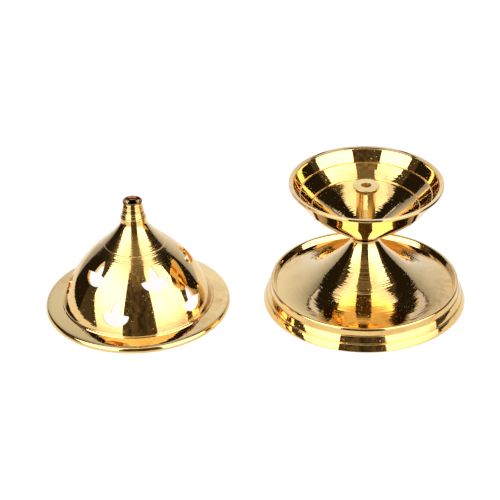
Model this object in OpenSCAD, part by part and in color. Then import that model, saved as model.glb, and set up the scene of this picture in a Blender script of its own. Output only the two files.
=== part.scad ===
// Footed brass table censer that doubles as an oil lamp.
// A turned stand carries a shallow bowl with a slotted wick post, and a pierced
// dome lid with a small chimney stands beside it on the table.
// Millimetres, +Z up. The origin is on the table, midway along the whole set.

/* [Layout] */
// Distance between the stand's axis and the axis of the lid set down beside it
axis_spacing = 101.3; // [96:0.1:130]
// How far the lid stands forward of the stand's axis
lid_forward = 0.7; // [0:0.1:3]

/* [Pedestal] */
// Radius of the foot on the table
foot_r = 45; // [43:0.5:47]
// Height of each turned step on the outside of the foot
step_h = 3.2; // [2.8:0.1:3.4]
// Width of the fine ledge on top of each step
ledge_w = 0.25; // [0.15:0.05:0.4]
// Height of the rim around the dish
rim_h = 10; // [9.5:0.1:10.5]
// Radius of the dish inside the rim
dish_r = 39; // [38:0.1:39.4]
// Height of the dish where it meets the rim
dish_z = 7.6; // [7:0.1:8]
// Radius of the neck under the bowl
neck_r = 6; // [5.5:0.1:6.5]
// Height of the joint between the pedestal and the bowl
joint_z = 32; // [30:0.5:34]
// Radius where the neck runs out into the cone
cone_top_r = 9; // [8.6:0.1:9.4]
// Height of the foot of the cone above the edge of the dish
cone_foot_rise = 9.2; // [8.9:0.1:9.5]
// Radius where the cone runs out into the dish
cone_foot_r = 18; // [17.5:0.1:18.5]
// Wall thickness of the pedestal
pedestal_wall = 1.8; // [1.4:0.1:2]
// Width of the ring that the foot stands on
foot_w = 2; // [1.5:0.1:2.5]
// Height of the spot face that the washer bears on
spot_z = 21; // [19:0.5:21.5]

/* [Bowl] */
// Outer radius of the bowl's lip
bowl_r = 33.5; // [33:0.1:34]
// Height of the top of the lip
bowl_z = 58.7; // [58:0.1:59]
// Width of the lip
lip_w = 2; // [1.8:0.1:2.2]
// How far the lip's inner edge lies below its outer edge
lip_dip = 0.5; // [0.2:0.1:0.7]
// Radius of the upper turned line inside the bowl
line_1_r = 28.6; // [28.4:0.1:28.8]
// Radius of the lower turned line inside the bowl
line_2_r = 23.4; // [23.2:0.1:23.6]
// Depth of a turned line
line_depth = 0.2; // [0.1:0.05:0.3]
// Thickness of the bowl's floor under the wick post
floor_t = 2.6; // [2.2:0.1:3]

/* [Wick post] */
// Height of the top of the wick post
post_z = 57.1; // [56:0.1:58]
// Radius of the post's flanged head
head_r = 5.8; // [5.4:0.1:6.2]
// Thickness of the head
head_t = 1.8; // [1.4:0.1:2.2]
// Radius of the post
post_r = 4.25; // [4:0.05:4.5]
// Radius of the wick hole down the post
wick_hole_r = 2.2; // [1.8:0.05:2.4]
// Width of the slot across the post
slot_w = 3; // [2.6:0.1:3.1]
// Height of the bottom of the slot
slot_z = 42.4; // [40:0.1:44]
// Turn of the slot about the post's axis
slot_turn = -15; // [-45:1:45]
// Radius of the threaded shank
shank_r = 2.5; // [2.5:0.1:2.6]

/* [Fixings] */
// Clearance around the shank in the bowl and the pedestal
shank_gap = 0.2; // [0.1:0.05:0.4]
// Radius of the washer
washer_r = 5; // [4.8:0.1:5.5]
// Thickness of the washer
washer_t = 1; // [0.8:0.1:1.2]
// Width of the nut across its flats
nut_af = 8; // [8:0.1:8.5]
// Thickness of the nut
nut_t = 4; // [3.5:0.1:4.5]
// How far the shank stands out below the nut
shank_end = 1.2; // [0.5:0.1:2]

/* [Lid] */
// Radius of the lid's brim
brim_r = 41.2; // [40.8:0.1:41.6]
// Radius of the dome where it rises from the brim
dome_r = 32.9; // [32.7:0.1:33.1]
// Height of the foot of the dome
dome_z = 3.4; // [3.2:0.1:3.6]
// Wall thickness of the lid
lid_wall = 1.3; // [1.1:0.1:1.5]
// Radius of the collar at the top of the dome
collar_r = 5.6; // [5.4:0.1:5.8]
// Height of the top of the collar
collar_z = 44.9; // [44.5:0.1:45.5]
// Radius of the thin turned line around the dome
dome_line_r = 13.6; // [13.2:0.1:14]

/* [Cut-outs] */
// Number of cut-outs in each of the two rows
cut_count = 5; // [3:1:5]
// Half the width of a lamp-shaped cut-out
cut_half_w = 6.2; // [5.5:0.1:6.5]
// Depth of its round lower part
cut_bowl_h = 5.2; // [4.5:0.1:5.5]
// Height of its flame
cut_flame_h = 6.7; // [5.5:0.1:7]
// Half the width of the flame at its foot
cut_flame_w = 2.25; // [1.8:0.05:2.6]
// Turn of the lower row about the lid's axis
lower_turn = -16; // [-36:1:36]
// Turn of the upper row about the lid's axis
upper_turn = 25; // [-36:1:36]

/* [Chimney] */
// Height of the mouth of the chimney
mouth_z = 52.3; // [51.8:0.1:53]
// Radius of the rounded lip around the mouth
mouth_r = 4.3; // [4.1:0.05:4.5]
// Radius of the ribbed barrel where it sits on the collar
barrel_r = 5.15; // [5:0.05:5.2]
// Radius of the ribbed barrel under the lip
barrel_top_r = 4.1; // [4:0.05:4.15]
// Number of turned ribs on the barrel
rib_count = 5; // [3:1:7]
// Depth of the grooves between the ribs
rib_depth = 0.16; // [0.08:0.02:0.24]
// Radius of the hole through the chimney
vent_r = 2; // [1.6:0.1:2.2]
// Radius of the shank held in the collar
tube_r = 3.2; // [3:0.1:3.4]

/* [Hidden] */

brass = [0.84, 0.67, 0.30];
cast_brass = [0.72, 0.56, 0.26];
$fn = 96;

// Each piece stands on its own axis; the set is centred on the origin along X.
stand_x = (axis_spacing + brim_r - foot_r) / 2;
lid_x = stand_x - axis_spacing;

curve_n = 14;
floor_z = joint_z + floor_t;
hole_r = shank_r + shank_gap;
nut_top_z = spot_z - washer_t;
nut_bottom_z = nut_top_z - nut_t;

// Profiles are lists of [radius, height].
// A quadratic curve from a to c that leaves a towards b and reaches c from b.
function curve(a, b, c, n = curve_n) =
    [for (i = [0:n]) let (t = i / n) (1 - t) * (1 - t) * a + 2 * t * (1 - t) * b + t * t * c];

// The same curve moved sideways by d, to the left of its direction of travel.
function curve_beside(a, b, c, d, n = curve_n) =
    [for (i = [0:n])
        let (t = i / n,
             p = (1 - t) * (1 - t) * a + 2 * t * (1 - t) * b + t * t * c,
             v = (1 - t) * (b - a) + t * (c - b))
        p + d * [-v[1], v[0]] / norm(v)];

module turned(profile) {
    rotate_extrude()
        polygon(profile);
}

module at_stand() {
    translate([stand_x, 0, 0])
        children();
}

module at_lid() {
    translate([lid_x, -lid_forward, 0])
        children();
}

// ---- Pedestal: a hollow turned flare on a stepped foot ----

// The flare falls steeply from the neck, runs down a cone and flattens out into the dish.
neck_foot = [neck_r, joint_z - 0.9];
neck_pull = [neck_r + 0.55, joint_z - 3.5];
cone_top = [cone_top_r, joint_z - 6.5];
cone_pull = [cone_top_r + 2.5, joint_z - 9.6];
cone_foot = [cone_foot_r, dish_z + cone_foot_rise];
dish_pull = [cone_foot_r + 9.5, dish_z + 0.9];
dish_edge = [dish_r, dish_z];

function without_first(points) = [for (i = [1:len(points) - 1]) points[i]];

step_1_r = foot_r - 1.25;
step_2_r = step_1_r - ledge_w - 1.3;
rim_r = step_2_r - ledge_w;

module pedestal() {
    neck = [
        [hole_r, joint_z],
        [neck_r - 0.3, joint_z],
        [neck_r + 0.05, joint_z - 0.3],
        [neck_r + 0.05, joint_z - 0.6]
    ];
    flare = concat(
        curve(neck_foot, neck_pull, cone_top, 8),
        without_first(curve(cone_top, cone_pull, cone_foot)),
        without_first(curve(cone_foot, dish_pull, dish_edge))
    );
    rim_inside = curve(dish_edge, [dish_r + 0.5, dish_z + 0.1], [dish_r + 1.2, rim_h - 0.4], 5);
    rim_top = curve([dish_r + 1.2, rim_h - 0.4], [dish_r + 1.35, rim_h], [dish_r + 1.7, rim_h], 4);
    rim_outside = curve([dish_r + 1.7, rim_h], [rim_r - 0.05, rim_h - 0.1], [rim_r, 2 * step_h], 10);
    steps = [
        [rim_r + ledge_w, 2 * step_h],
        [step_1_r - ledge_w, step_h],
        [step_1_r, step_h],
        [foot_r, 0.3],
        [foot_r - 0.3, 0]
    ];
    inside = [
        [foot_r - foot_w, 0],
        [dish_r + 1.6, dish_z - pedestal_wall - 0.6],
        [dish_r + 1, dish_z - pedestal_wall - 0.1]
    ];
    under_dish = curve_beside(dish_edge, dish_pull, cone_foot, pedestal_wall);
    under_cone = [
        for (p = curve_beside(cone_foot, cone_pull, cone_top, pedestal_wall))
            if (p[1] < spot_z - 0.3) p
    ];
    spot = [
        [under_cone[len(under_cone) - 1][0], spot_z],
        [hole_r, spot_z]
    ];
    color(brass)
        at_stand()
            turned(concat(neck, flare, without_first(rim_inside), rim_top, rim_outside, steps,
                          inside, under_dish, without_first(under_cone), spot));
}

// ---- Bowl: shallow, turned, with a narrow lip and two turned lines inside ----

line_1 = [line_1_r, joint_z + 20.9];
line_2 = [line_2_r, joint_z + 15];

module bowl() {
    foot = [
        [hole_r, joint_z],
        [neck_r - 0.8, joint_z],
        [neck_r - 0.8, joint_z + 0.35],
        [neck_r + 0.1, joint_z + 0.55],
        [neck_r + 0.2, joint_z + 0.8]
    ];
    belly = curve([neck_r + 0.5, joint_z + 0.85], [bowl_r - 10.2, joint_z + 11.4],
                  [bowl_r - 5.3, joint_z + 18.6]);
    flare = curve([bowl_r - 5.3, joint_z + 18.6], [bowl_r - 3.6, joint_z + 21.1],
                  [bowl_r - 0.2, bowl_z - 1.4], 8);
    lip = [
        [bowl_r, bowl_z - 1.1],
        [bowl_r, bowl_z - 0.25],
        [bowl_r - 0.25, bowl_z],
        [bowl_r - lip_w + 0.15, bowl_z - lip_dip],
        [bowl_r - lip_w - 0.1, bowl_z - lip_dip - 0.15]
    ];
    wall_inside = curve([bowl_r - lip_w - 0.2, bowl_z - lip_dip - 0.6],
                        [line_1_r + 1.7, line_1[1] + 2.6], line_1 + [0.15, 0.2], 8);
    into_wall = [0.77, -0.64];
    between_lines = curve(line_1 - [0.3, 0.36], [line_1_r - 2.3, line_1[1] - 2.9],
                          line_2 + [0.15, 0.2], 8);
    floor_inside = curve(line_2 - [0.3, 0.36], [16.6, joint_z + 8.4], [post_r + 0.4, floor_z], 12);
    color(brass)
        at_stand()
            turned(concat(foot, belly, flare, lip, wall_inside,
                          [line_1 + into_wall * line_depth], between_lines,
                          [line_2 + into_wall * line_depth], floor_inside,
                          [[hole_r, floor_z]]));
}

// ---- Wick post: flanged, drilled and slotted, on a threaded shank ----

module wick_post() {
    head_bottom_z = post_z - head_t;
    shank = [
        [0, nut_bottom_z - shank_end],
        [shank_r - 0.4, nut_bottom_z - shank_end],
        [shank_r, nut_bottom_z - shank_end + 0.4],
        [shank_r, floor_z],
        [post_r, floor_z]
    ];
    under_head = curve([post_r, head_bottom_z - 1], [post_r + 0.1, head_bottom_z - 0.1],
                       [head_r - 0.3, head_bottom_z + 0.1], 6);
    head = [
        [head_r, head_bottom_z + 0.5],
        [head_r, post_z - 0.3],
        [head_r - 0.3, post_z],
        [0, post_z]
    ];
    slot_h = head_bottom_z - 0.9 - slot_z;
    color(cast_brass)
        at_stand()
            difference() {
                turned(concat(shank, under_head, head));
                translate([0, 0, slot_z])
                    cylinder(r = wick_hole_r, h = post_z - slot_z + 1);
                rotate([0, 0, slot_turn])
                    translate([-slot_w / 2, -post_r - 1, slot_z])
                        cube([slot_w, 2 * post_r + 2, slot_h]);
            }
}

// ---- Washer and nut that clamp the post, bowl and pedestal together ----

module fixing_washer() {
    color(cast_brass)
        at_stand()
            translate([0, 0, nut_top_z])
                difference() {
                    cylinder(r = washer_r, h = washer_t);
                    translate([0, 0, -1])
                        cylinder(r = hole_r, h = washer_t + 2);
                }
}

module fixing_nut() {
    corner_r = nut_af / (2 * cos(30));
    color(cast_brass)
        at_stand()
            translate([0, 0, nut_bottom_z])
                difference() {
                    intersection() {
                        cylinder(r = corner_r, h = nut_t, $fn = 6);
                        turned([
                            [0, 0],
                            [nut_af / 2 - 0.1, 0],
                            [corner_r + 0.1, 0.5],
                            [corner_r + 0.1, nut_t],
                            [0, nut_t]
                        ]);
                    }
                    translate([0, 0, -1])
                        cylinder(r = shank_r, h = nut_t + 2);
                }
}

// ---- Lid: a brim, a pierced dome and a collar for the chimney ----

dome_foot = [dome_r, dome_z];
dome_bulge = [dome_r - 4.6, dome_z + 15.5];
dome_turn = [dome_r - 17.3, dome_z + 26.6];
dome_hollow = [collar_r + 0.85, dome_z + 35];
dome_top = [collar_r, dome_z + 38.9];

// A lamp with a round bowl and a pointed flame, standing on its bowl's top line.
module lamp_outline() {
    boat = [
        for (i = [0:16])
            let (a = 180 + 180 * i / 16)
            [cut_half_w * cos(a), cut_bowl_h * sin(a) - 0.2]
    ];
    flame = curve([cut_flame_w, 0.3], [cut_flame_w - 0.2, cut_flame_h * 0.5], [0, cut_flame_h], 6);
    flame_left = [for (i = [len(flame) - 2:-1:0]) [-flame[i][0], flame[i][1]]];
    polygon(concat(boat, flame, flame_left));
}

// One row of lamps cut square to the dome's wall at radius r and height z,
// where the wall faces up by the angle rise.
module lamp_row(r, z, rise, turn) {
    for (i = [0:cut_count - 1])
        rotate([0, 0, turn + i * 360 / cut_count])
            translate([0, -r, z])
                rotate([90 - rise, 0, 0])
                    linear_extrude(height = 9, center = true)
                        lamp_outline();
}

module lid_shell() {
    brim = concat(
        [
            [brim_r - 1, 0],
            [brim_r - 0.25, 0],
            [brim_r, 0.3],
            [brim_r, 0.7]
        ],
        curve([brim_r - 0.05, 0.9], [brim_r - 0.6, 2.25], [brim_r - 1.9, 2.4], 8),
        [
            [dome_r + 1.1, 2.85],
            [dome_r + 0.95, 2.75],
            [dome_r + 0.55, 3.25],
            [dome_r + 0.1, 3.2]
        ]
    );
    dome_low = curve(dome_foot, dome_bulge, dome_turn);
    // The line turned around the dome is a fine groove between two beads.
    dome_high = [
        for (p = curve(dome_turn, dome_hollow, dome_top, 20))
            if (abs(p[0] - dome_line_r) > 0.35) p
    ];
    above_line = [for (p = dome_high) if (p[0] < dome_line_r) p];
    below_line = [for (p = dome_high) if (p[0] > dome_line_r) p];
    line_z = dome_high_z(dome_line_r);
    line = [
        [dome_line_r + 0.3, line_z - 0.27],
        [dome_line_r - 0.05, line_z - 0.15],
        [dome_line_r - 0.3, line_z + 0.27]
    ];
    collar = [
        [collar_r - 0.2, collar_z - 0.25],
        [collar_r - 0.4, collar_z],
        [tube_r, collar_z]
    ];
    inside_high = [
        for (p = curve_beside(dome_top, dome_hollow, dome_turn, -lid_wall))
            if (p[1] < dome_z + 35) p
    ];
    inside_low = curve_beside(dome_turn, dome_bulge, dome_foot, -lid_wall);
    seat = [
        [dome_r - 1.3, dome_z - 0.5],
        [dome_r - 0.7, 2.3]
    ];
    color(brass)
        at_lid()
            difference() {
                turned(concat(brim, dome_low, below_line, line, above_line, collar,
                              [[tube_r, dome_z + 35]], inside_high, inside_low, seat));
                lamp_row(29.7, 11.9, 27, lower_turn);
                lamp_row(21.9, 24.1, 42, upper_turn);
            }
}

// Height of the upper dome at radius r, read along its curve.
function dome_high_z(r) =
    let (pts = curve(dome_turn, dome_hollow, dome_top, 60))
    lookup(-r, [for (p = pts) [-p[0], p[1]]]);

// ---- Chimney: a ribbed, drilled spout seated on the collar ----

module chimney() {
    rib_top_z = mouth_z - 1.2;
    rib_h = (rib_top_z - collar_z - 0.5) / rib_count;
    shank = [
        [vent_r, collar_z - 7.3],
        [tube_r + 0.4, collar_z - 7.3],
        [tube_r + 0.5, collar_z - 6.8],
        [tube_r, collar_z - 6.5],
        [tube_r, collar_z],
        [barrel_r - 0.1, collar_z],
        [barrel_r, collar_z + 0.2]
    ];
    ribs = [
        for (i = [0:rib_count - 1])
            for (k = [0:3])
                let (z = collar_z + 0.5 + (i + k / 4) * rib_h,
                     taper = (z - collar_z) / (rib_top_z - collar_z),
                     dip = rib_depth * (k == 0 ? 0 : k == 2 ? 1 : 0.6))
                [barrel_r + (barrel_top_r - barrel_r) * taper - dip, z]
    ];
    neck = [
        [barrel_top_r, rib_top_z],
        [barrel_top_r - 0.15, rib_top_z + 0.25]
    ];
    mouth_lip = [
        for (i = [0:8])
            let (a = -60 + 210 * i / 8)
            [mouth_r - 0.45 + 0.45 * cos(a), mouth_z - 0.45 + 0.45 * sin(a)]
    ];
    mouth = [
        [mouth_r - 1.4, mouth_z - 0.5],
        [mouth_r - 1.5, mouth_z - 1.1],
        [vent_r, mouth_z - 1.4]
    ];
    color(brass)
        at_lid()
            turned(concat(shank, ribs, neck, mouth_lip, mouth));
}

pedestal();
bowl();
wick_post();
fixing_washer();
fixing_nut();
lid_shell();
chimney();
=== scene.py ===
"""Polished brass table censer: a footed bowl with a wick post, and its pierced lid beside it.

Each visible piece is a fine lathe mesh on the axis of its CAD node; the washer and the nut inside
keep their CAD meshes. Outlines are lists of (radius, height) in millimetres; meshes, the stage
and the camera are in metres.
"""

import math

import bmesh
import bpy
import numpy as np
from mathutils import Matrix, Vector


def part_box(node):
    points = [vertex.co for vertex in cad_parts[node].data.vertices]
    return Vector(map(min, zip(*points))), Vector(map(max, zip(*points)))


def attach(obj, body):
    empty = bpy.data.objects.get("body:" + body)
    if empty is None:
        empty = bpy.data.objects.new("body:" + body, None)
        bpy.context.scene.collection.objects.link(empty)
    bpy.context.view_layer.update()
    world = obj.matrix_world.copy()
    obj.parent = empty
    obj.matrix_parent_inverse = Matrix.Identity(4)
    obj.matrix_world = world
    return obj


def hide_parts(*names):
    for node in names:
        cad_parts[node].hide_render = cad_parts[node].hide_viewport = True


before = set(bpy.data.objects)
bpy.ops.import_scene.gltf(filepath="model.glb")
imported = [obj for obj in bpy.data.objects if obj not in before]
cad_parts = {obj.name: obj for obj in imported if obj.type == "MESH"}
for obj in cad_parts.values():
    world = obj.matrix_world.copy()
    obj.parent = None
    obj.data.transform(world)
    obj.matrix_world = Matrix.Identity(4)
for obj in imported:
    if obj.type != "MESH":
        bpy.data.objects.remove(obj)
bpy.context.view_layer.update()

MM = 0.001
SEGMENTS = 288
SHARP_ANGLE = math.radians(34)
CURVE_STEPS = 40
SAME_POINT = 1e-5
ON_AXIS = 1e-6
GROOVE_STEPS = 13
GROOVE_CLEAR = 1.05
SLOT_STEPS = 24


# ---- Sizes, read from the frame where it has them ----


def span(node):
    """Axis x, axis y, radius, lowest and highest height of a turned CAD node, in millimetres."""
    lo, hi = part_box(node)
    mid = (lo + hi) / 2 / MM
    return mid.x, mid.y, (hi.x - lo.x) / 2 / MM, lo.z / MM, hi.z / MM


stand_x, stand_y, foot_r, _, joint_z = span("pedestal")
_, _, bowl_r, _, bowl_z = span("bowl")
_, _, head_r, shank_z, post_z = span("wick_post")
lid_x, lid_y, brim_r, _, collar_z = span("lid_shell")
_, _, barrel_r, chimney_foot_z, mouth_z = span("chimney")
_, _, _, _, washer_top_z = span("fixing_washer")

# Pedestal
step_h = 3.2
ledge_w = 0.25
rim_h = 10.0
dish_r = 39.0
dish_z = 7.6
neck_r = 6.0
cone_top_r = 9.0
cone_foot_r = 18.0
cone_foot_rise = 9.2
pedestal_wall = 1.8
foot_w = 2.0
hole_r = 2.7

# Bowl
lip_w = 2.0
lip_dip = 0.5
line_1 = (28.6, joint_z + 20.9)
line_2 = (23.4, joint_z + 15.0)
line_depth = 0.2
line_half_w = 0.28
floor_z = joint_z + 2.6

# Wick post
head_t = 1.8
post_r = 4.25
wick_hole_r = 2.2
slot_w = 3.0
slot_z = 42.4
slot_turn = math.radians(-15)
slot_over = 0.9
# Depth, radians per millimetre and start of each wave in the slot's rough edges
slot_waves = [(0.1, 2.3, 0), (0.07, 5.9, 1)]
shank_r = 2.5

# Lid
dome_r = 32.9
dome_z = 3.4
lid_wall = 1.3
collar_r = 5.6
dome_line_r = 13.6
dome_line_depth = 0.12
dome_line_half_w = 0.3
tube_r = 3.2
vent_r = 2.0

# Lamp-shaped cut-outs in the lid
cut_count = 5
cut_half_w = 6.2
cut_bowl_h = 5.2
cut_flame_h = 6.7
cut_flame_w = 2.25
cut_depth = 4.5
# Radius, height, upward tilt and turn of each row
cut_rows = [(29.7, 11.9, 27, -16), (21.9, 24.1, 42, 25)]

# Chimney
mouth_r = 4.3
mouth_round = 0.45
barrel_top_r = 4.1
rib_count = 5
rib_depth = 0.025
tool_wave_depth = 0.02
# Radians over the barrel's height
tool_waves = 47
deep_groove_depth = 0.12
# Shares of the barrel's height
deep_groove_w = 0.03
deep_groove_shares = (0.13, 0.3)


# ---- Outlines ----


def curve(a, b, c, n=CURVE_STEPS):
    """Quadratic curve from a to c that leaves a towards b and reaches c from b."""
    a, b, c = (np.array(p, float) for p in (a, b, c))
    t = np.linspace(0, 1, n + 1)[:, None]
    return [tuple(p) for p in (1 - t) ** 2 * a + 2 * t * (1 - t) * b + t * t * c]


def curve_beside(a, b, c, d):
    """The same curve moved sideways by d, to the left of its direction of travel."""
    a, b, c = (np.array(p, float) for p in (a, b, c))
    t = np.linspace(0, 1, CURVE_STEPS + 1)[:, None]
    p = (1 - t) ** 2 * a + 2 * t * (1 - t) * b + t * t * c
    v = (1 - t) * (b - a) + t * (c - b)
    left = np.stack([-v[:, 1], v[:, 0]], 1) / np.linalg.norm(v, axis=1)[:, None]
    return [tuple(q) for q in p + d * left]


def rounded(points, steps=5):
    """Points (radius, height) or (radius, height, rounding): the rounded corners become curves."""
    out = []
    for i, p in enumerate(points):
        if len(p) == 2 or p[2] == 0 or i in (0, len(points) - 1):
            out.append((p[0], p[1]))
            continue
        here = np.array(p[:2], float)
        before = np.array(points[i - 1][:2], float) - here
        after = np.array(points[i + 1][:2], float) - here
        start = here + before / np.linalg.norm(before) * min(p[2], np.linalg.norm(before) / 2)
        end = here + after / np.linalg.norm(after) * min(p[2], np.linalg.norm(after) / 2)
        out += curve(start, here, end, steps)
    return out


def grooved(points, radius, depth, width):
    """The outline with a fine turned groove where it passes the radius, cut to the left of its
    direction of travel. The width is measured from the groove's middle to its edge."""
    pts = np.array(points, float)
    along = np.concatenate([[0], np.cumsum(np.linalg.norm(np.diff(pts, axis=0), axis=1))])
    cross = next(i for i in range(len(pts) - 1)
                 if (pts[i, 0] - radius) * (pts[i + 1, 0] - radius) <= 0)
    share = (radius - pts[cross, 0]) / (pts[cross + 1, 0] - pts[cross, 0])
    middle = along[cross] + share * (along[cross + 1] - along[cross])
    s = np.linspace(-width, width, GROOVE_STEPS)
    on = np.stack([np.interp(middle + s, along, pts[:, k]) for k in (0, 1)], 1)
    v = on[-1] - on[0]
    left = np.array([-v[1], v[0]]) / np.linalg.norm(v)
    dip = depth * np.cos(np.clip(s / width, -1, 1) * math.pi / 2) ** 2
    on = on + left * dip[:, None]
    clear = width * GROOVE_CLEAR
    keep_low = [tuple(p) for p, a in zip(pts, along) if a < middle - clear]
    keep_high = [tuple(p) for p, a in zip(pts, along) if a > middle + clear]
    return keep_low + [tuple(p) for p in on] + keep_high


# ---- Meshes ----


def lathe(name, outline, open_ends=False):
    """Turns an outline about the z axis. A closed outline comes back to its first point; an open
    one starts and ends on the axis."""
    points = [outline[0]] + [p for q, p in zip(outline, outline[1:])
                             if math.hypot(p[0] - q[0], p[1] - q[1]) > SAME_POINT]
    turn = np.linspace(0, 2 * math.pi, SEGMENTS, endpoint=False)
    verts, rings = [], []
    for r, z in points:
        first = len(verts)
        if r < ON_AXIS:
            verts.append((0, 0, z * MM))
            rings.append([first] * SEGMENTS)
        else:
            verts += [(r * MM * math.cos(a), r * MM * math.sin(a), z * MM) for a in turn]
            rings.append(list(range(first, first + SEGMENTS)))
    pairs = list(zip(rings, rings[1:])) + ([] if open_ends else [(rings[-1], rings[0])])
    faces = []
    for low, high in pairs:
        for k in range(SEGMENTS):
            n = (k + 1) % SEGMENTS
            face = [low[k], low[n], high[n], high[k]]
            face = [v for j, v in enumerate(face) if v != face[j - 1]]
            if len(face) > 2:
                faces.append(face)
    mesh = bpy.data.meshes.new(name)
    mesh.from_pydata(verts, [], faces)
    return finished(bpy.data.objects.new(name, mesh))


def finished(obj):
    """Links the object and smooths it."""
    bpy.context.scene.collection.objects.link(obj)
    smooth(obj.data)
    return obj


def smooth(mesh):
    """Turns a mesh's faces outwards and shades it smooth between sharp edges."""
    bm = bmesh.new()
    bm.from_mesh(mesh)
    bmesh.ops.recalc_face_normals(bm, faces=bm.faces)
    bm.to_mesh(mesh)
    bm.free()
    mesh.shade_smooth()
    mesh.set_sharp_from_angle(angle=SHARP_ANGLE)


def prism(outline, depth, place):
    """Vertices and faces of an outline (x, y) in mm, extruded by depth both ways, then placed."""
    n = len(outline)
    verts = [place @ Vector((x * MM, y * MM, z * MM))
             for z in (-depth, depth) for x, y in outline]
    faces = [list(range(n))[::-1], list(range(n, 2 * n))]
    faces += [[i, (i + 1) % n, n + (i + 1) % n, n + i] for i in range(n)]
    return verts, faces


def cut(obj, prisms):
    """Takes the prisms out of the object for good."""
    verts, faces = [], []
    for v, f in prisms:
        faces += [[i + len(verts) for i in face] for face in f]
        verts += v
    mesh = bpy.data.meshes.new("cutter")
    mesh.from_pydata(verts, [], faces)
    cutter = bpy.data.objects.new("cutter", mesh)
    bpy.context.scene.collection.objects.link(cutter)
    step = obj.modifiers.new("cut", "BOOLEAN")
    step.operation, step.solver, step.object = "DIFFERENCE", "EXACT", cutter
    bpy.context.view_layer.update()
    graph = bpy.context.evaluated_depsgraph_get()
    shape = bpy.data.meshes.new_from_object(obj.evaluated_get(graph))
    obj.modifiers.remove(step)
    obj.data = shape
    bpy.data.objects.remove(cutter)
    smooth(shape)


def place(obj, x, y, body, slot, *nodes):
    """Stands the piece on its CAD axis and lets it ride in place of its CAD nodes."""
    obj.location = (x * MM, y * MM, 0)
    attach(obj, body)
    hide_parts(*nodes)
    return obj


# ---- Pedestal ----

neck_foot = (neck_r, joint_z - 0.9)
neck_pull = (neck_r + 0.55, joint_z - 3.5)
cone_top = (cone_top_r, joint_z - 6.5)
cone_pull = (cone_top_r + 2.5, joint_z - 9.6)
cone_foot = (cone_foot_r, dish_z + cone_foot_rise)
dish_pull = (cone_foot_r + 9.5, dish_z + 0.9)
dish_edge = (dish_r, dish_z)


def pedestal_outline():
    step_1_r = foot_r - 1.25
    step_2_r = step_1_r - ledge_w - 1.3
    rim_r = step_2_r - ledge_w
    neck = rounded([
        (hole_r, joint_z),
        (neck_r + 0.05, joint_z, 0.3),
        (neck_r + 0.05, joint_z - 0.6, 0.05),
        neck_foot,
    ])
    flare = curve(neck_foot, neck_pull, cone_top, 30)
    flare += curve(cone_top, cone_pull, cone_foot, 50)[1:]
    flare += curve(cone_foot, dish_pull, dish_edge, 60)[1:]
    rim = rounded([
        (dish_r, dish_z),
        (dish_r + 1.15, rim_h - 0.3, 0.5),
        (dish_r + 1.6, rim_h, 0.3),
        (rim_r - 0.25, rim_h - 0.15, 1.1),
        (rim_r, 2 * step_h + 0.45),
    ], 10)
    # A fine notch cuts in over each ledge.
    steps = rounded([
        (rim_r, 2 * step_h + 0.45, 0.1),
        (rim_r - 0.2, 2 * step_h + 0.1, 0.05),
        (rim_r + ledge_w, 2 * step_h, 0.12),
        (step_1_r - ledge_w - 0.1, step_h + 0.45, 0.1),
        (step_1_r - ledge_w - 0.25, step_h + 0.1, 0.05),
        (step_1_r, step_h, 0.12),
        (foot_r, 0.3, 0.15),
        (foot_r - 0.3, 0, 0.15),
        (foot_r - foot_w, 0),
    ])
    inside = rounded([
        (foot_r - foot_w, 0, 0.3),
        (dish_r + 1.6, dish_z - pedestal_wall - 0.6, 0.6),
        (dish_r + 1, dish_z - pedestal_wall - 0.1, 0.5),
        (dish_r - 0.2, dish_z - pedestal_wall),
    ])
    under = curve_beside(dish_edge, dish_pull, cone_foot, pedestal_wall)
    under += curve_beside(cone_foot, cone_pull, cone_top, pedestal_wall)[1:]
    under = [p for p in under if p[1] < washer_top_z - 0.3]
    spot = [(under[-1][0], washer_top_z), (hole_r, washer_top_z)]
    return neck + flare + rim[1:] + steps + inside + under[1:] + spot


# ---- Bowl ----


def bowl_outline():
    foot = rounded([
        (hole_r, joint_z),
        (neck_r - 0.8, joint_z),
        (neck_r - 0.8, joint_z + 0.35),
        (neck_r + 0.15, joint_z + 0.55, 0.2),
        (neck_r + 0.2, joint_z + 0.8),
    ])
    belly = curve((neck_r + 0.5, joint_z + 0.85), (bowl_r - 10.2, joint_z + 11.4),
                  (bowl_r - 5.3, joint_z + 18.6), 60)
    flare = curve((bowl_r - 5.3, joint_z + 18.6), (bowl_r - 3.6, joint_z + 21.1),
                  (bowl_r - 0.2, bowl_z - 1.4), 24)
    lip = rounded([
        (bowl_r - 0.2, bowl_z - 1.4),
        (bowl_r, bowl_z - 1.1, 0.3),
        (bowl_r, bowl_z, 0.35),
        (bowl_r - lip_w, bowl_z - lip_dip, 0.3),
        (bowl_r - lip_w - 0.2, bowl_z - lip_dip - 0.6),
    ], 8)
    inner_1 = (bowl_r - lip_w - 0.2, bowl_z - lip_dip - 0.6)
    wall_inside = curve(inner_1, (line_1[0] + 1.7, line_1[1] + 2.6), line_1, 24)
    between = curve(line_1, (line_1[0] - 2.4, line_1[1] - 3.0), line_2, 30)
    floor_inside = curve(line_2, (16.6, joint_z + 8.4), (post_r + 0.4, floor_z), 50)
    inside = wall_inside + between[1:] + floor_inside[1:]
    inside = grooved(inside, line_1[0], line_depth, line_half_w)
    inside = grooved(inside, line_2[0], line_depth, line_half_w)
    return foot + belly + flare[1:] + lip[1:] + inside + [(hole_r, floor_z)]


# ---- Wick post ----


def post_outline():
    head_bottom_z = post_z - head_t
    return rounded([
        (0, shank_z),
        (shank_r, shank_z, 0.4),
        (shank_r, floor_z, 0.05),
        (post_r, floor_z, 0.1),
        (post_r, head_bottom_z - 0.1, 1.0),
        (head_r - 0.1, head_bottom_z + 0.1, 0.4),
        (head_r, post_z, 0.35),
        (wick_hole_r, post_z, 0.12),
        (wick_hole_r, slot_z),
        (0, slot_z),
    ], 7)


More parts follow.
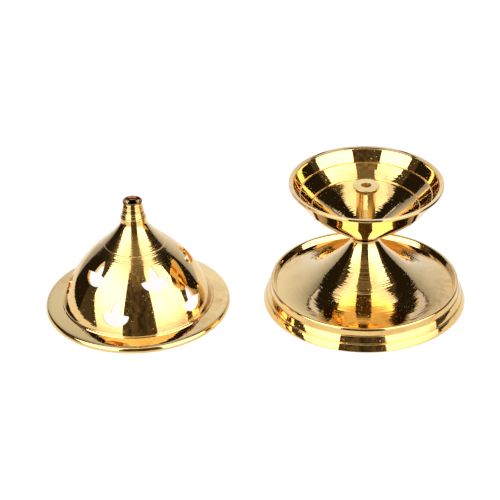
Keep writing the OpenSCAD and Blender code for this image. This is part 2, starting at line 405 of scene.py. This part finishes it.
def slot_outline():
    """The slot seen from the front, with the uneven edges of a rough cut."""
    heights = np.linspace(slot_z, post_z - head_t - slot_over, SLOT_STEPS)
    ragged = sum(depth * np.sin(heights * waves + start) for depth, waves, start in slot_waves)
    right = [(slot_w / 2 + w, z) for w, z in zip(ragged, heights)]
    left = [(-slot_w / 2 + w, z) for w, z in zip(ragged[::-1], heights[::-1])]
    return right + left


# ---- Lid ----

dome_foot = (dome_r, dome_z)
dome_bulge = (dome_r - 4.6, dome_z + 15.5)
dome_turn = (dome_r - 17.3, dome_z + 26.6)
dome_hollow = (collar_r + 0.85, dome_z + 35)
dome_top = (collar_r, dome_z + 38.9)


def lid_outline():
    brim = rounded([
        (brim_r - 1, 0),
        (brim_r, 0, 0.3),
        (brim_r, 0.9, 0.4),
        (brim_r - 0.6, 2.2, 1.4),
        (brim_r - 1.9, 2.42, 0.5),
        (dome_r + 1.1, 2.85, 0.15),
        (dome_r + 0.9, 2.75, 0.1),
        (dome_r + 0.6, 3.25, 0.2),
        (dome_r + 0.1, 3.2, 0.1),
        dome_foot,
    ], 8)
    dome = curve(dome_foot, dome_bulge, dome_turn, 60)
    dome += curve(dome_turn, dome_hollow, dome_top, 60)[1:]
    dome = grooved(dome, dome_line_r, dome_line_depth, dome_line_half_w)
    collar = rounded([dome_top, (collar_r, collar_z, 0.4), (tube_r, collar_z)], 6)
    inside = curve_beside(dome_top, dome_hollow, dome_turn, -lid_wall)
    inside = [(tube_r, dome_z + 35)] + [p for p in inside if p[1] < dome_z + 35]
    inside += curve_beside(dome_turn, dome_bulge, dome_foot, -lid_wall)[1:]
    seat = [(dome_r - 1.3, dome_z - 0.5), (dome_r - 0.7, 2.3)]
    return brim[:-1] + dome + collar[1:] + inside + seat


def lamp_outline():
    boat = [(cut_half_w * math.cos(a), cut_bowl_h * math.sin(a) - 0.2)
            for a in np.linspace(math.pi, 2 * math.pi, 25)]
    flame = curve((cut_flame_w, 0.3), (cut_flame_w - 0.2, cut_flame_h * 0.5), (0, cut_flame_h), 10)
    return boat + flame + [(-x, y) for x, y in flame[-2::-1]]


def lamp_prisms():
    made = []
    for radius, height, tilt, turn in cut_rows:
        for i in range(cut_count):
            about = Matrix.Rotation(math.radians(turn) + i * 2 * math.pi / cut_count, 4, "Z")
            out = Matrix.Translation((0, -radius * MM, height * MM))
            up = Matrix.Rotation(math.radians(90 - tilt), 4, "X")
            made.append(prism(lamp_outline(), cut_depth, about @ out @ up))
    return made


# ---- Chimney ----


def chimney_outline():
    rib_top_z = mouth_z - 1.2
    rib_foot_z = collar_z + 0.5
    heights = np.linspace(rib_foot_z, rib_top_z, rib_count * 12 + 1)
    share = (heights - rib_foot_z) / (rib_top_z - rib_foot_z)
    dip = rib_depth * (1 - np.cos(share * rib_count * 2 * math.pi))
    dip += tool_wave_depth * np.sin(share * tool_waves)
    for groove_share in deep_groove_shares:
        dip += deep_groove_depth * np.exp(-((share - groove_share) / deep_groove_w) ** 2)
    taper = (barrel_top_r - barrel_r) * (heights - collar_z) / (rib_top_z - collar_z)
    radii = barrel_r + taper - dip
    shank = rounded([
        (vent_r, chimney_foot_z),
        (tube_r + 0.5, chimney_foot_z, 0.3),
        (tube_r, chimney_foot_z + 0.8, 0.1),
        (tube_r, collar_z),
        (barrel_r, collar_z, 0.15),
        (barrel_r, collar_z + 0.4),
    ])
    mouth = [(mouth_r - mouth_round + mouth_round * math.cos(a),
              mouth_z - mouth_round + mouth_round * math.sin(a))
             for a in np.radians(np.linspace(-60, 150, 17))]
    hole = [(mouth_r - 1.4, mouth_z - 0.5), (mouth_r - 1.5, mouth_z - 1.1), (vent_r, mouth_z - 1.4)]
    groove = [(barrel_top_r - 0.15, rib_top_z + 0.25)]
    return shank + list(zip(radii, heights)) + groove + mouth + hole


pedestal = place(lathe("pedestal_turned", pedestal_outline()), stand_x, stand_y,
                 "stand", "polished_brass", "pedestal")
bowl = place(lathe("bowl_turned", bowl_outline()), stand_x, stand_y,
             "stand", "polished_brass", "bowl")
post = lathe("wick_post_slotted", post_outline(), open_ends=True)
cut(post, [prism(slot_outline(), post_r + 1,
                 Matrix.Rotation(slot_turn, 4, "Z") @ Matrix.Rotation(math.pi / 2, 4, "X"))])
place(post, stand_x, stand_y, "stand", "cast_brass", "wick_post")
lid = lathe("lid_pierced", lid_outline())
cut(lid, lamp_prisms())
place(lid, lid_x, lid_y, "lid", "polished_brass", "lid_shell")
chimney = place(lathe("chimney_ribbed", chimney_outline()), lid_x, lid_y,
                "lid", "polished_brass", "chimney")


# ---- Materials ----

# Noise scales, in features per metre
WEAR = 45.0
CLOTH = 260.0
DENTS = 170.0
PITS = 1300.0
FINE_RINGS = 1500.0
BROAD_RINGS = 600.0
PATCHES = 14.0
PIT_DEPTH = 0.00002
# How deep the rings are left outside the ring zone
POLISHED_DOWN = 0.2
# Half the width over which the ring zone starts or ends, as a share of the zone
RING_EDGE = 0.15
# The same for a dark band, in mm
BAND_EDGE = 0.1
# Colour of the dark band at the joint between bowl and pedestal: painted shade in the crevice
JOINT_SHADE = (0.1, 0.035, 0.01)
SOOT = (0.3, 0.11, 0.05)


def add(tree, kind, inputs, **settings):
    """A new shader node; an input is either a value or another node's output."""
    made = tree.nodes.new(kind)
    for name, value in settings.items():
        setattr(made, name, value)
    for name, value in inputs.items():
        if isinstance(value, bpy.types.NodeSocket):
            tree.links.new(value, made.inputs[name])
        else:
            made.inputs[name].default_value = value
    return made


def noise(tree, where, scale, detail=2.0, roughness=0.5):
    inputs = {"Vector": where, "Scale": scale, "Detail": detail, "Roughness": roughness}
    return add(tree, "ShaderNodeTexNoise", inputs).outputs[0]


def remap(tree, value, from_min, from_max, to_min, to_max):
    return add(tree, "ShaderNodeMapRange",
               {"Value": value, "From Min": from_min, "From Max": from_max,
                "To Min": to_min, "To Max": to_max}).outputs[0]


def maths(tree, operation, a, b):
    return add(tree, "ShaderNodeMath", {0: a, 1: b}, operation=operation).outputs[0]


def bump(tree, height, depth, normal=None):
    """Bump of the given depth in metres, on top of the normal if there is one."""
    inputs = {"Height": height, "Strength": 1.0, "Distance": depth}
    if normal:
        inputs["Normal"] = normal
    return add(tree, "ShaderNodeBump", inputs).outputs[0]


def brass(name, colour, tarnish, roughness, smudge, ring_depth, dent_depth, ring_zone=None,
          satin=0.0, dark_band=None):
    """Turned brass: rings from the tool, smudges from the cloth, and tarnish where it is dull.

    The rings depend only on the radius and the height, so they run round the piece's axis. They
    are deep in the ring zone (inner and outer radius in mm), which is duller by satin, and
    polished down elsewhere. A dark band is soot, or painted shade in a joint between parts: its
    lowest and highest height in mm, and its colour."""
    m = bpy.data.materials.new(name)
    m.use_nodes = True
    tree = m.node_tree
    shader = tree.nodes["Principled BSDF"]
    where = add(tree, "ShaderNodeTexCoord", {}).outputs["Object"]
    parts = add(tree, "ShaderNodeSeparateXYZ", {"Vector": where}).outputs
    flat_part = add(tree, "ShaderNodeCombineXYZ", {"X": parts["X"], "Y": parts["Y"]}).outputs[0]
    radius = add(tree, "ShaderNodeVectorMath", {0: flat_part}, operation="LENGTH").outputs["Value"]
    section = add(tree, "ShaderNodeCombineXYZ", {"X": radius, "Y": parts["Z"]}).outputs[0]

    wear = noise(tree, where, WEAR, 5.0, 0.65)
    cloth = noise(tree, where, CLOTH, 5.0, 0.7)
    dull = remap(tree, wear, 0.46, 0.7, 0.0, 1.0)
    stain = maths(tree, "MULTIPLY", dull, remap(tree, cloth, 0.4, 0.62, 0.15, 0.7))
    tint = add(tree, "ShaderNodeMix", {0: stain, 6: (*colour, 1), 7: (*tarnish, 1)},
               data_type="RGBA")
    # A dark band of colour: real soot at the chimney's mouth, painted shade at the bowl's joint
    if dark_band:
        low, high, dark = dark_band
        above = remap(tree, parts["Z"], (low - BAND_EDGE) * MM, (low + BAND_EDGE) * MM, 0.0, 0.9)
        below = remap(tree, parts["Z"], (high - BAND_EDGE) * MM, (high + BAND_EDGE) * MM,
                      1.0, 0.0)
        share = maths(tree, "MULTIPLY", above, below)
        tint = add(tree, "ShaderNodeMix", {0: share, 6: tint.outputs[2], 7: (*dark, 1)},
                   data_type="RGBA")
    tree.links.new(tint.outputs[2], shader.inputs["Base Color"])
    shader.inputs["Metallic"].default_value = 1

    turned, haze = POLISHED_DOWN, 0.0
    if ring_zone:
        inner, outer = ring_zone[0] * MM, ring_zone[1] * MM
        edge = RING_EDGE * (outer - inner)
        past_inner = remap(tree, radius, inner - edge, inner + edge, 0.0, 1.0)
        short_of_outer = remap(tree, radius, outer - edge, outer + edge, 1.0, 0.0)
        inside = maths(tree, "MULTIPLY", past_inner, short_of_outer)
        turned = maths(tree, "MULTIPLY", inside, 1 - POLISHED_DOWN)
        turned = maths(tree, "ADD", turned, POLISHED_DOWN)
        haze = maths(tree, "MULTIPLY", inside, satin)
    fine_rings = noise(tree, section, FINE_RINGS, 0.0)
    broad_rings = noise(tree, section, BROAD_RINGS, 1.0)
    smear = maths(tree, "MULTIPLY", dull, remap(tree, cloth, 0.35, 0.65, 0.3, 1.0))
    ring_gloss = remap(tree, broad_rings, 0.45, 0.65, 0.0, 0.35)
    ring_gloss = maths(tree, "MULTIPLY", ring_gloss, turned)
    rough = maths(tree, "MULTIPLY", maths(tree, "ADD", smear, ring_gloss), smudge)
    rough = maths(tree, "ADD", rough, maths(tree, "ADD", haze, roughness))
    tree.links.new(rough, shader.inputs["Roughness"])

    pits = remap(tree, noise(tree, where, PITS, 1.0), 0.7, 0.8, 1.0, 0.0)
    normal = bump(tree, noise(tree, where, DENTS, 2.0, 0.4), dent_depth)
    normal = bump(tree, pits, PIT_DEPTH, normal)
    normal = bump(tree, maths(tree, "MULTIPLY", broad_rings, turned), ring_depth, normal)
    normal = bump(tree, maths(tree, "MULTIPLY", fine_rings, turned), ring_depth, normal)
    tree.links.new(normal, shader.inputs["Normal"])
    return m


def polished(name, **more):
    return brass(name, colour=(0.92, 0.62, 0.24), tarnish=(0.6, 0.31, 0.09), roughness=0.03,
                 smudge=0.1, ring_depth=0.00004, dent_depth=0.00001, **more)


# The dark bands at the bowl's foot and the pedestal's top are painted shade in the joint between
# them
pedestal.data.materials.append(polished("pedestal brass", ring_zone=(11, 38),
                                        dark_band=(joint_z - 0.3, joint_z + 1, JOINT_SHADE)))
bowl.data.materials.append(polished("bowl brass", ring_zone=(2, 23.4),
                                    dark_band=(joint_z - 1, joint_z + 0.5, JOINT_SHADE)))
lid.data.materials.append(polished("lid brass", ring_zone=(7, 17.5), satin=0.1))
chimney.data.materials.append(polished("chimney brass",
                                       dark_band=(mouth_z - 0.7, mouth_z + 1, SOOT)))
cast = brass("cast brass", colour=(1.0, 0.74, 0.27), tarnish=(0.6, 0.3, 0.08), roughness=0.3,
             smudge=0.2, ring_depth=0.00006, dent_depth=0.00014)
post.data.materials.append(cast)
for node in ("fixing_washer", "fixing_nut"):
    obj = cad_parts[node]
    obj.data.materials.clear()
    obj.data.materials.append(cast)


# ---- Stage and light ----

TENT_R = 0.6
TENT_TOP = 0.9
TENT_FOOT = -0.4
SCREEN_STEPS = 24
WARM = (1, 0.8, 0.5)


def glow(name, strength, *fades, colour=(1, 1, 1), uneven=0.0):
    """Plain light. Each fade (axis, middle, start, end, share) dims it to that share as the
    distance from the middle along the axis goes from start to end. Uneven light varies by that
    share from place to place."""
    m = bpy.data.materials.new(name)
    m.use_nodes = True
    tree = m.node_tree
    tree.nodes.clear()
    where = add(tree, "ShaderNodeTexCoord", {}).outputs["Object"]
    parts = add(tree, "ShaderNodeSeparateXYZ", {"Vector": where}).outputs
    for axis, middle, start, end, share in fades:
        away = maths(tree, "ABSOLUTE", maths(tree, "SUBTRACT", parts[axis], middle), 0.0)
        strength = maths(tree, "MULTIPLY", remap(tree, away, start, end, 1.0, share), strength)
    if uneven:
        patches = noise(tree, where, PATCHES, 3.0, 0.6)
        patches = remap(tree, patches, 0.35, 0.65, 1 - uneven, 1 + uneven)
        strength = maths(tree, "MULTIPLY", patches, strength)
    light = add(tree, "ShaderNodeEmission", {"Color": (*colour, 1), "Strength": strength})
    add(tree, "ShaderNodeOutputMaterial", {"Surface": light.outputs[0]})
    return m


def stage_piece(name, verts, faces, material, seen=False):
    """A piece of the studio. Unless it is seen, it shows only in reflections."""
    mesh = bpy.data.meshes.new(name)
    mesh.from_pydata(verts, [], faces)
    mesh.materials.append(material)
    obj = bpy.data.objects.new(name, mesh)
    bpy.context.scene.collection.objects.link(obj)
    obj.visible_camera = seen
    obj.visible_diffuse = seen
    obj.visible_shadow = seen
    obj.visible_glossy = not seen
    return obj


def screen(name, levels, material):
    """An upright curved screen around the set: (height, azimuth from, azimuth to) from its foot
    up. Azimuth 0 is the camera's side, 90 is +X."""
    verts, faces = [], []
    for z, az_from, az_to in levels:
        for a in np.radians(np.linspace(az_from, az_to, SCREEN_STEPS + 1)):
            verts.append((TENT_R * math.sin(a), -TENT_R * math.cos(a), z))
    for k in range(len(levels) - 1):
        low, high = k * (SCREEN_STEPS + 1), (k + 1) * (SCREEN_STEPS + 1)
        faces += [[low + i, low + i + 1, high + i + 1, high + i] for i in range(SCREEN_STEPS)]
    stage_piece(name, verts, faces, material)


def wall(name, x0, x1, foot, top, material):
    """An upright flat screen behind the set. Its foot and top are heights at x0 and x1."""
    y = TENT_R
    corners = [(x0, y, foot[0]), (x1, y, foot[1]), (x1, y, top[1]), (x0, y, top[0])]
    stage_piece(name, corners, [[0, 1, 2, 3]], material)


def flat(name, x0, x1, y0, y1, z, material, seen=False):
    """A level sheet."""
    corners = [(x0, y0, z), (x1, y0, z), (x1, y1, z), (x0, y1, z)]
    stage_piece(name, corners, [[0, 1, 2, 3]], material, seen)


pale = bpy.data.materials.new("pale floor")
pale.use_nodes = True
pale_shader = pale.node_tree.nodes["Principled BSDF"]
pale_shader.inputs["Base Color"].default_value = (0.15, 0.15, 0.15, 1)
pale_shader.inputs["Roughness"].default_value = 1
pale_shader.inputs["Specular IOR Level"].default_value = 0
pale_shader.inputs["Emission Color"].default_value = (1, 1, 1, 1)
pale_shader.inputs["Emission Strength"].default_value = 0.92
flat("floor", x0=-6, x1=6, y0=-6, y1=6, z=0, material=pale, seen=True)
flat("table top", x0=-0.16, x1=0.16, y0=-0.07, y1=0.2, z=0, material=glow("table top", 0.95))

# In front: a dark gap where the photographer stands, between two softboxes with cut corners.
GAP_L, GAP_R = -25, 24
FLAG_L, FLAG_R = -95, 95
BACK_L, BACK_R = -129, 126
left_edge = [(TENT_FOOT, -62), (0.0, -62), (0.2, -79), (0.62, -79), (TENT_TOP, -66)]
right_edge = [(TENT_FOOT, 80), (0.0, 80), (0.2, 84), (0.58, 84), (TENT_TOP, 66)]
softbox = glow("softbox", 1.1,
               ("Z", TENT_FOOT, 0.38, 0.62, 3.0), ("Z", 0.0, 0.45, TENT_TOP, 0.45))
shade = glow("shade", 0.07, colour=WARM)
screen("softbox left", [(z, az, GAP_L) for z, az in left_edge], softbox)
screen("softbox right", [(z, GAP_R, az) for z, az in right_edge], softbox)
screen("shade left", [(z, FLAG_L, az) for z, az in left_edge], shade)
screen("shade right", [(z, az, FLAG_R) for z, az in right_edge], shade)
screen("gap", [(TENT_FOOT, GAP_L, GAP_R), (TENT_TOP, GAP_L, GAP_R)],
       glow("gap", 0.2, ("Z", TENT_TOP, 0.1, 0.4, 0.4), colour=(1, 0.77, 0.47), uneven=0.6))
# At the sides and behind: black flags, and a pale sheet that falls off to its edges, with a dim
# strip of painted shadow along its top.
flag = glow("flag", 0.017, colour=WARM)
screen("flag left", [(TENT_FOOT, BACK_L, FLAG_L), (TENT_TOP, BACK_L, FLAG_L)], flag)
screen("flag right", [(TENT_FOOT, FLAG_R, BACK_R), (TENT_TOP, FLAG_R, BACK_R)], flag)
SHEET_L, SHEET_R = -0.72, 0.8
WALL_L, WALL_R = -3, 3
FOOT = (TENT_FOOT, TENT_FOOT)
SHEET_TOP = (0.79, 0.59)
SHEET_SHADOW_TOP = (0.84, 0.64)
BAND_TOP = (0.99, 0.83)
WALL_TOP = (2, 2)
wall("sheet", SHEET_L, SHEET_R, FOOT, SHEET_TOP,
     glow("sheet", 1.0, ("X", 0.06, 0.05, 0.7, 0.4), ("Z", 0.0, 0.4, 0.85, 0.5),
          colour=(0.95, 1.05, 1.35)))
# A dim strip seen only in reflections: painted shadow along the top of the sheet
wall("sheet shadow", SHEET_L, SHEET_R, SHEET_TOP, SHEET_SHADOW_TOP,
     glow("sheet shadow", 0.1, colour=(1, 0.7, 0.5)))
wall("band", SHEET_L, SHEET_R, SHEET_SHADOW_TOP, BAND_TOP, glow("band", 0.8, colour=(0.95, 1.0, 1.5)))
wall("flag back", WALL_L, WALL_R, BAND_TOP, WALL_TOP, flag)
wall("flag back left", WALL_L, SHEET_L, FOOT, (BAND_TOP[0], BAND_TOP[0]), flag)
wall("flag back right", SHEET_R, WALL_R, FOOT, (BAND_TOP[1], BAND_TOP[1]), flag)
# Overhead: a white sheet, open towards the camera and black towards the back.
OPEN_L, OPEN_R, OPEN_Y = -0.2, 0.24, -0.29
SHEET_Y = 0.15
overhead = glow("overhead", 1.5)
overhead_gap = glow("overhead gap", 0.2, colour=(1, 0.8, 0.45))
flat("overhead left", -0.45, OPEN_L, -TENT_R, SHEET_Y, TENT_TOP, overhead)
flat("overhead middle", OPEN_L, OPEN_R, OPEN_Y, SHEET_Y, TENT_TOP, overhead)
flat("overhead right", OPEN_R, 0.53, -TENT_R, SHEET_Y, TENT_TOP, overhead)
flat("overhead gap", OPEN_L, OPEN_R, -TENT_R, OPEN_Y, TENT_TOP, overhead_gap)
flat("overhead back", -TENT_R, TENT_R, SHEET_Y, 0.5, TENT_TOP, flag)

world = bpy.data.worlds.new("studio")
world.use_nodes = True
world.node_tree.nodes["Background"].inputs["Color"].default_value = (1, 1, 1, 1)
world.node_tree.nodes["Background"].inputs["Strength"].default_value = 1.0
bpy.context.scene.world = world
bpy.context.scene.view_settings.view_transform = "Standard"


# ---- Camera ----

CAMERA_DISTANCE = 0.8036
CAMERA_PITCH = math.radians(31.01)
CAMERA_ROLL = math.radians(-1.13)
CAMERA_LENS = 122.93
SENSOR_MM = 36
CAMERA_TARGET = Vector((-0.002, 0.0424, 0))

forward = Vector((0, math.cos(CAMERA_PITCH), -math.sin(CAMERA_PITCH)))
level = Vector((1, 0, 0))
upward = level.cross(forward)
side = level * math.cos(CAMERA_ROLL) + upward * math.sin(CAMERA_ROLL)
top = upward * math.cos(CAMERA_ROLL) - level * math.sin(CAMERA_ROLL)
camera = bpy.data.objects.new("camera", bpy.data.cameras.new("camera"))
bpy.context.scene.collection.objects.link(camera)
camera.data.lens = CAMERA_LENS
camera.data.sensor_width = SENSOR_MM
camera.matrix_world = Matrix.Translation(CAMERA_TARGET - forward * CAMERA_DISTANCE) @ Matrix(
    (side, top, -forward)).transposed().to_4x4()
bpy.context.scene.camera = camera
